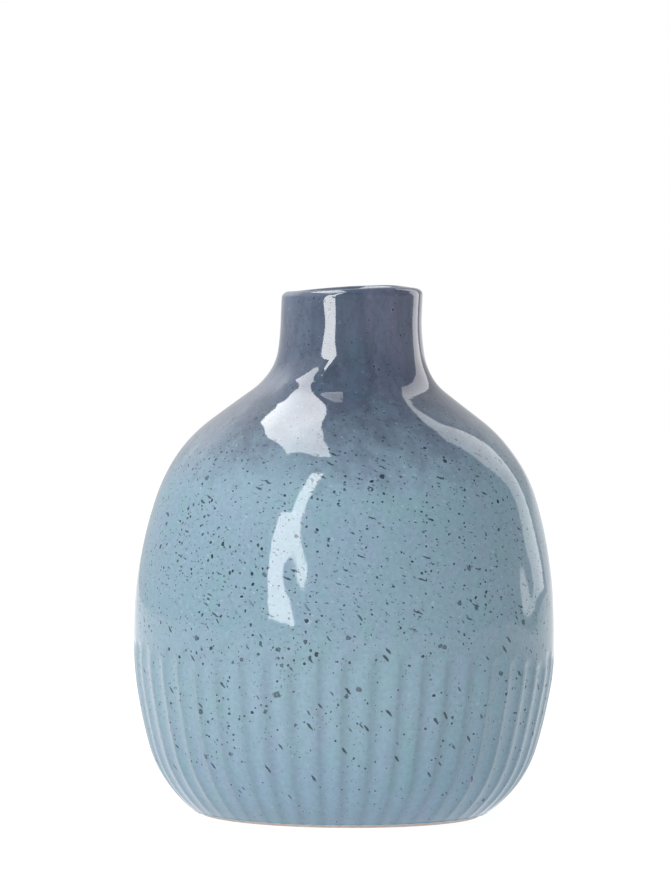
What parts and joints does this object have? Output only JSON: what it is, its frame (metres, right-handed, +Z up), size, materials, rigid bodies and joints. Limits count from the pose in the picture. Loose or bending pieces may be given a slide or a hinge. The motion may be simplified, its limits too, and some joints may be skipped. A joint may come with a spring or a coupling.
{
  "type": "bottle vase",
  "caption": "Glazed ceramic bottle vase: low rounded belly with fine upright flutes round its lower half, sloping shoulder and a short straight neck that holds stems.",
  "frame": {"origin": "on the vase's axis, in the face it stands on", "axes": "+Z up along the axis to the mouth, -Y towards the viewer of the picture, +X to the viewer's right"},
  "size_m": [0.12, 0.12, 0.1508],
  "materials": {
    "fired_clay": "matte",
    "pale_glaze": "gloss",
    "slate_glaze": "gloss",
    "liner_glaze": "gloss"
  },
  "bodies": {
    "root": {"clay_body": "fired_clay", "body_glaze": "pale_glaze", "neck_glaze": "slate_glaze", "liner_glaze": "liner_glaze", "foot_recess_glaze": "liner_glaze"}
  },
  "joints": []
}
